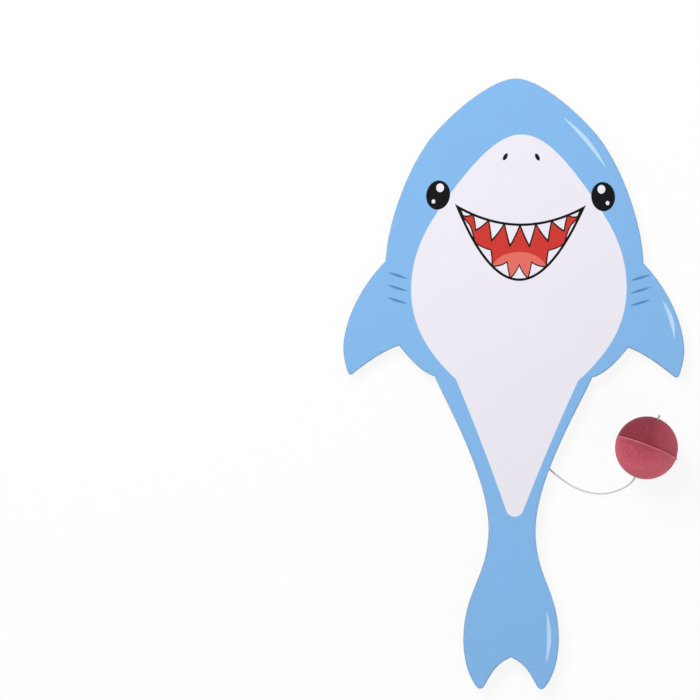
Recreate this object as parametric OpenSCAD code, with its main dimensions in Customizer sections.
// Paddle ball game: a flat board cut to the outline of a shark, held by its tail, and a rubber
// ball on an elastic cord that is stapled to the back of the board.
// It lies face up with the nose towards +Y. The board leans on its nose and on the staple below it,
// and the ball rests beside the handle.

/* [Board] */
// Thickness of the fibreboard
board_t = 4.8; // [3:0.1:8]
// Thickness of the printed film on the front
print_t = 0.2; // [0.1:0.05:0.5]
// Width of the bare rim round the print
print_margin = 0.4; // [0.2:0.1:1.2]

/* [Head] */
// Length from the nose to the brow
snout_len = 30.4; // [24:0.2:40]
// Width across the brow
brow_w = 79.6; // [70:0.2:92]
// Length from the brow to the roots of the fins
cheek_len = 49.8; // [40:0.2:60]
// Width between the roots of the fins
head_w = 112.6; // [104:0.2:124]

/* [Fins] */
// Length from the fin roots to the widest place
fin_len = 38.4; // [30:0.2:46]
// Width across both fins
fin_span = 148.8; // [136:0.2:164]
// Length from the widest place to the ends of the fin tips
fin_tip_len = 11.3; // [8:0.1:18]
// Distance of the middle of each fin tip's rounding inside the widest place
fin_tip_inset = 3.3; // [2:0.1:6]
// Radius of a fin tip
fin_tip_r = 1.2; // [0.8:0.1:2.4]
// Length from the fin roots to the shoulders behind the fins
shoulder_len = 36.8; // [32:0.2:42]
// Width between the shoulders
shoulder_w = 100; // [90:0.2:108]

/* [Handle] */
// Length from the shoulders to the hips
belly_len = 13.3; // [9:0.1:18]
// Width between the hips
hip_w = 68.6; // [60:0.2:80]
// Length from the hips to the neck of the handle
handle_len = 66.7; // [50:0.1:85]
// Width of the neck, where the hand closes
neck_w = 20.4; // [16:0.2:26]

/* [Tail] */
// Length from the neck to the widest place of the tail
tail_len = 47.7; // [36:0.1:60]
// Width of the tail
tail_w = 41.6; // [34:0.2:50]
// Length from the widest place to the ends of the tail tips
fluke_len = 21.7; // [16:0.1:30]
// Width between the middles of the tail tips' roundings
tail_tip_w = 26.6; // [20:0.2:30]
// Radius of a tail tip
tail_tip_r = 1.9; // [1:0.1:3]
// Depth of the notch between the tail tips
notch_depth = 13.8; // [8:0.2:18]

/* [Staple] */
// Diameter of the staple's wire
staple_wire_d = 0.6; // [0.5:0.05:0.8]
// Width of the staple's crown, outside
crown_w = 4; // [3.6:0.1:8]
// Thickness of board left over the points of the staple's legs
leg_cover = 0.8; // [0.4:0.1:1.6]
// Distance from the nose to the staple
staple_at = 134.3; // [120:0.1:140]
// Distance of the staple from the centre line, to the left
staple_off = 4.5; // [0:0.5:12]
// Direction in which the cord leaves the staple, from +X
staple_turn = 26; // [10:1:45]

/* [Cord] */
// Diameter of the elastic cord
cord_d = 0.8; // [0.6:0.05:1.2]
// Length of the cut end behind the staple
cord_tail_len = 5; // [3:0.5:8]
// Length from the staple to the place where the cord bends freely
anchor_len = 6; // [4:0.5:8]

/* [Ball] */
// Diameter of the rubber ball
ball_d = 27.5; // [24:0.5:30]
// Place of the ball's centre across the paddle
ball_x = 58; // [54:0.2:64]
// Place of the ball's centre along the paddle
ball_y = -27.3; // [-36:0.1:-24]
// Direction of the ball's bore, seen from above, from +X
bore_turn = 69.6; // [50:0.2:90]
// Rise of the bore towards the end with the clip
bore_rise = 18; // [0:1:30]
// Dip of the moulding seam's axis towards the same end
seam_dip = 5.2; // [0:0.1:15]
// Thickness of the moulding flash round the ball
flash_d = 0.6; // [0.3:0.1:1]
// Depth of the seat for the end clip
seat_depth = 2; // [1:0.2:4]

/* [End clip] */
// Diameter of the clip's wire
clip_wire_d = 0.45; // [0.35:0.05:0.6]
// Length of the clip that stands out of the ball
clip_out = 2.4; // [1.5:0.1:4]
// Turn of the clip about the bore, from legs side by side to one leg over the other
clip_turn = 62; // [0:1:90]

/* [Hidden] */
$fn = 48;

// Room for a cut to run past the face that it starts from
overrun = 1;
// Room round the staple's legs in the board
leg_gap = 0.03;
// Room above and below the cord in the staple
clamp_gap = 0.02;
// Room round the cord in the ball's bore, and round the clip in its seat
bore_gap = 0.08;
// Room between the free cord and the cord in the ball
cord_gap = 0.05;
// Room between the clip's legs and the floor of their seat
seat_gap = 0.05;
// Length of cord that stands out of the ball's bore
cord_out = 0.6;
// Length over which the cord runs straight out of the ball
cord_lead = 1.2;
// Sides of the cord's tube
cord_sides = 8;
// Points on each stretch of the outline, on each rounded tip, and between two points of the cord's route
stretch_steps = 16;
tip_steps = 6;
route_steps = 3;

// Handles of the outline's curves, as shares of each stretch's width and length
snout_shares = [[0.33, 0], [0.9, 0.75]];
cheek_shares = [[0.5, 0.25], [0.96, 0.68]];
fin_shares = [[0.66, 0.32], [1, 0.72]];
fin_edge_share = [0, 0.28];
fin_under_share = [0.68, 0.82];
belly_shares = [[0.24, 0.37], [0.64, 0.9]];
handle_shares = [[0.15, 0.14], [1, 0.65]];
tail_shares = [[0, 0.43], [1, 0.56]];
fluke_share = [0, 0.39];
notch_share = [0.4, 0.74];

// Where each tip's rounding starts and ends, as angles from +X, and the lengths of the handles there
fin_tip_turns = [-24, -129];
fin_tip_handles = [2.6, 8.8];
tail_tip_turns = [-40, -150];
tail_tip_handles = [6.4, 6.8];

// Half of the outline, from the nose along the right side to the notch in the tail
root_at = snout_len + cheek_len;
shoulder_at = root_at + shoulder_len;
hip_at = shoulder_at + belly_len;
neck_at = hip_at + handle_len;
tail_at = neck_at + tail_len;
tail_tip_at = tail_at + fluke_len;
nose = at(0, 0);
brow = at(brow_w, snout_len);
fin_root = at(head_w, root_at);
fin_wide = at(fin_span, root_at + fin_len);
fin_tip = at(fin_span - 2 * fin_tip_inset, root_at + fin_len + fin_tip_len - fin_tip_r);
shoulder = at(shoulder_w, shoulder_at);
hip = at(hip_w, hip_at);
neck = at(neck_w, neck_at);
tail = at(tail_w, tail_at);
tail_tip = at(tail_tip_w, tail_tip_at - tail_tip_r);
notch = at(0, tail_tip_at - notch_depth);
fin_tip_in = on_circle(fin_tip, fin_tip_r, fin_tip_turns[0]);
fin_tip_out = on_circle(fin_tip, fin_tip_r, fin_tip_turns[1]);
tail_tip_in = on_circle(tail_tip, tail_tip_r, tail_tip_turns[0]);
tail_tip_out = on_circle(tail_tip, tail_tip_r, tail_tip_turns[1]);
right_side = concat(
    stretch(nose, brow, snout_shares),
    stretch(brow, fin_root, cheek_shares),
    stretch(fin_root, fin_wide, fin_shares),
    curve(fin_wide, part(fin_wide, fin_tip_in, fin_edge_share),
          fin_tip_in - fin_tip_handles[0] * clockwise(fin_tip_turns[0]), fin_tip_in),
    rounded(fin_tip, fin_tip_r, fin_tip_turns),
    curve(fin_tip_out, fin_tip_out + fin_tip_handles[1] * clockwise(fin_tip_turns[1]),
          part(fin_tip_out, shoulder, fin_under_share), shoulder),
    stretch(shoulder, hip, belly_shares),
    stretch(hip, neck, handle_shares),
    stretch(neck, tail, tail_shares),
    curve(tail, part(tail, tail_tip_in, fluke_share),
          tail_tip_in - tail_tip_handles[0] * clockwise(tail_tip_turns[0]), tail_tip_in),
    rounded(tail_tip, tail_tip_r, tail_tip_turns),
    curve(tail_tip_out, tail_tip_out + tail_tip_handles[1] * clockwise(tail_tip_turns[1]),
          part(tail_tip_out, notch, notch_share), notch));

// The whole outline, turning left, with the middle of its box at the origin
side_last = len(right_side) - 1;
box_mid_y = (max([for (p = right_side) p.y]) + min([for (p = right_side) p.y])) / 2;
outline = [
    for (p = right_side) if (p.x > 0) [-p.x, p.y - box_mid_y],
    [notch.x, notch.y - box_mid_y],
    for (i = [side_last:-1:0]) [right_side[i].x, right_side[i].y - box_mid_y]];
nose_y = nose.y - box_mid_y;

// The staple, in the board's own frame, whose back lies in z = 0
staple = [-staple_off, nose_y - staple_at];
crown_bend_r = staple_wire_d;
leg_spacing = crown_w - staple_wire_d;
leg_depth = board_t - leg_cover;
crown_straight = leg_spacing - 2 * crown_bend_r;
crown_top = cord_d + 2 * clamp_gap;
stand_off = crown_top + staple_wire_d;

// The board's lean: its back meets the floor at the nose, and the crown's nearer end does too
contact_y = staple.y + crown_straight / 2 * cos(staple_turn);
rest_tilt = atan(stand_off / (nose_y - contact_y));

// The cord under the staple: how far along the cord, and how far below the back of the board
clamp_drop = cord_d / 2 + clamp_gap;
anchor_drop = stand_off - cord_d / 2 - 2 * clamp_gap;
anchor_mid_drop = (clamp_drop + anchor_drop) / 2;
crown_cover = 2 * staple_wire_d;
anchor_route = [
    [-cord_tail_len, anchor_drop], [-(cord_tail_len + crown_cover) / 2, anchor_mid_drop],
    [-crown_cover, clamp_drop], [0, clamp_drop], [crown_cover, clamp_drop],
    [(crown_cover + anchor_len) / 2, anchor_mid_drop], [anchor_len, anchor_drop]];

// The ball's bore, from the end where the cord goes in to the end with the clip
ball_r = ball_d / 2;
bore_d = cord_d + 2 * bore_gap;
bore_dir = [cos(bore_rise) * cos(bore_turn), cos(bore_rise) * sin(bore_turn), sin(bore_rise)];
flash_reach = ball_r * cos(seam_dip) + flash_d / 2;
ball_at = [ball_x, ball_y, max(ball_r, flash_reach)];

// The clip, along the bore from the ball's centre
clip_bend_r = (cord_d + clip_wire_d) / 2 + clamp_gap;
clip_reach = clip_bend_r + clip_wire_d / 2;
clip_bend_at = ball_r + clip_out - clip_reach;
seat_floor = ball_r - seat_depth;
clip_leg_len = clip_bend_at - seat_floor - seat_gap;
seat_d = 2 * (clip_reach + bore_gap);

// The cord's way from the staple to the ball: a slack bend under the board, then out beside the
// handle, along the floor and up to the ball
root_route = [[1.6, 1.85, 0.45], [3, 2.6, 0.45], [4.4, 3.4, 0.45]];
slack_route = [
    [4.7, 3.6, 0.45], [12, 7.6, 0.45], [20, 12, 0.45], [28, 15.4, 0.45], [34.6, 15.6, 0.45],
    [37.8, 12, 0.45], [35, 7.6, 0.45], [28, 5.4, 0.45], [20, 2.4, 0.45], [12.6, -2.6, 0.45],
    [7.4, -9, 0.45], [4.8, -16.4, 0.45], [5.2, -23.6, 0.45], [8.4, -29.6, 0.45], [13, -34.3, 0.45],
    [18.6, -39.2, 0.45], [24, -43.2, 0.45], [29.2, -45.9, 0.5], [34.2, -47.3, 0.8], [38.4, -47.7, 1.5],
    [41.8, -47.4, 2.6], [45, -46.5, 4.1], [47.7, -45.4, 5.6], [49.9, -44.1, 6.9], [51.5, -42.8, 8]];
cord_route = concat(slack_route, [
    bore_at(-ball_r - cord_out - cord_lead),
    bore_at(-ball_r - cord_out - cord_gap)]);

// Point of the half outline that has the given full width, a distance behind the nose
function at(width, behind) = [width / 2, -behind];
// Point part of the way from a to b, with a share of the width and a share of the length
function part(a, b, share) = [a.x + share.x * (b.x - a.x), a.y + share.y * (b.y - a.y)];
function unit(v) = v / norm(v);
function on_circle(middle, radius, turn) = middle + radius * [cos(turn), sin(turn)];
// Direction of a clockwise way round a circle, at an angle
function clockwise(turn) = [sin(turn), -cos(turn)];
// Points from a up to b on a cubic curve with two handles
function curve(a, from_a, to_b, b) = [
    for (i = [0:stretch_steps - 1])
        let (t = i / stretch_steps, u = 1 - t)
        u^3 * a + 3 * u^2 * t * from_a + 3 * u * t^2 * to_b + t^3 * b];
// The same with handles that are shares of the way
function stretch(a, b, shares) = curve(a, part(a, b, shares[0]), part(a, b, shares[1]), b);
// Points of a tip's rounding, from the first of two angles up to the second
function rounded(middle, radius, turns) = [
    for (i = [0:tip_steps - 1]) on_circle(middle, radius, turns[0] + i / tip_steps * (turns[1] - turns[0]))];
// An outline that turns left, moved inwards along the normals of its edges
function inset(points, distance) =
    let (n = len(points))
    [for (i = [0:n - 1])
        let (back = unit(points[i] - points[(i + n - 1) % n]), ahead = unit(points[(i + 1) % n] - points[i]),
             m = [-back.y, back.x], k = [-ahead.y, ahead.x])
        points[i] + distance * (m + k) / (1 + m * k)];
// Faces of a closed skin over rings of n points each
function skin_faces(rings, n) = concat(
    [[for (i = [0:n - 1]) i]],
    [[for (i = [n - 1:-1:0]) (rings - 1) * n + i]],
    [for (r = [0:rings - 2]) for (i = [0:n - 1])
        [r * n + i, (r + 1) * n + i, (r + 1) * n + (i + 1) % n, r * n + (i + 1) % n]]);
// Points of a smooth curve through all the points of a route
function smooth_route(p) = concat([
    for (i = [0:len(p) - 2]) for (k = [0:route_steps - 1])
        let (a = p[max(i - 1, 0)], b = p[i], c = p[i + 1], d = p[min(i + 2, len(p) - 1)], t = k / route_steps)
        b + t / 2 * (c - a) + t^2 * (a - 2.5 * b + 2 * c - d / 2) + t^3 * (1.5 * (b - c) + (d - a) / 2)],
    [p[len(p) - 1]]);
// One ring of the cord's tube at point i of a route
function cord_ring(p, i) =
    let (along = unit(p[min(i + 1, len(p) - 1)] - p[max(i - 1, 0)]),
         side = unit(cross(along, [0, 0, 1])), up = cross(along, side))
    [for (k = [0:cord_sides - 1])
        let (turn = 360 * (k + 0.5) / cord_sides)
        p[i] + cord_d / 2 * (cos(turn) * side + sin(turn) * up)];
// Point of the ball's bore, a distance from the ball's centre
function bore_at(distance) = ball_at + distance * bore_dir;

// Puts what is drawn in the board's own frame where the board lies
module lying() {
    translate([0, nose_y, 0]) rotate([-rest_tilt, 0, 0]) translate([0, -nose_y, 0]) children();
}

// Puts what is drawn along z into the ball's bore
module in_bore() {
    translate(ball_at) rotate([0, 90 - bore_rise, bore_turn]) children();
}

// Puts what is drawn along x at the staple, in the direction in which the cord runs
module at_staple() {
    translate([staple.x, staple.y, 0]) rotate([0, 0, staple_turn]) children();
}

module cord_tube(path) {
    polyhedron([for (i = [0:len(path) - 1]) each cord_ring(path, i)], skin_faces(len(path), cord_sides));
}

module paddle_board() {
    color("tan") lying() difference() {
        linear_extrude(board_t) polygon(outline);
        at_staple() for (side = [-1, 1])
            translate([0, side * leg_spacing / 2, -overrun])
                cylinder(d = staple_wire_d + 2 * leg_gap, h = leg_depth + leg_gap + overrun);
    }
}

module front_print() {
    color([0.52, 0.73, 0.93]) lying() translate([0, 0, board_t])
        linear_extrude(print_t) polygon(inset(outline, print_margin));
}

module paddle_staple() {
    crown_z = -crown_top - staple_wire_d / 2;
    color("silver") lying() at_staple() {
        translate([0, crown_straight / 2, crown_z]) rotate([90, 0, 0])
            cylinder(d = staple_wire_d, h = crown_straight);
        for (side = [-1, 1]) {
            translate([0, side * crown_straight / 2, crown_z + crown_bend_r])
                rotate([0, 90, 0]) rotate([0, 0, side > 0 ? 0 : -90])
                rotate_extrude(angle = 90) translate([crown_bend_r, 0]) circle(d = staple_wire_d);
            translate([0, side * leg_spacing / 2, crown_z + crown_bend_r])
                cylinder(d = staple_wire_d, h = leg_depth - crown_z - crown_bend_r);
        }
    }
}

module cord_anchor() {
    path = [for (p = anchor_route) [p.x, 0, -p.y]];
    color("white") lying() at_staple() cord_tube(path);
}

module cord_root() {
    color("white") cord_tube(root_route);
}

module elastic_cord() {
    color("white") cord_tube(smooth_route(cord_route));
}

module cord_in_ball() {
    start = -ball_r - cord_out;
    color("white") in_bore() translate([0, 0, start]) cylinder(d = cord_d, h = clip_bend_at - start);
}

module end_clip() {
    color("silver") in_bore() translate([0, 0, clip_bend_at]) rotate([0, 0, clip_turn]) {
        rotate([90, 0, 90]) rotate_extrude(angle = 180) translate([clip_bend_r, 0]) circle(d = clip_wire_d);
        for (side = [-1, 1])
            translate([0, side * clip_bend_r, -clip_leg_len]) cylinder(d = clip_wire_d, h = clip_leg_len);
    }
}

module ball() {
    color([0.66, 0.31, 0.36]) in_bore() difference() {
        union() {
            sphere(r = ball_r);
            rotate([0, bore_rise + seam_dip, 0])
                rotate_extrude() translate([ball_r, 0]) circle(d = flash_d);
        }
        translate([0, 0, -ball_r - overrun]) cylinder(d = bore_d, h = ball_d + 2 * overrun);
        translate([0, 0, seat_floor]) cylinder(d = seat_d, h = seat_depth + overrun);
    }
}

paddle_board();
front_print();
paddle_staple();
cord_anchor();
cord_root();
elastic_cord();
cord_in_ball();
end_clip();
ball();
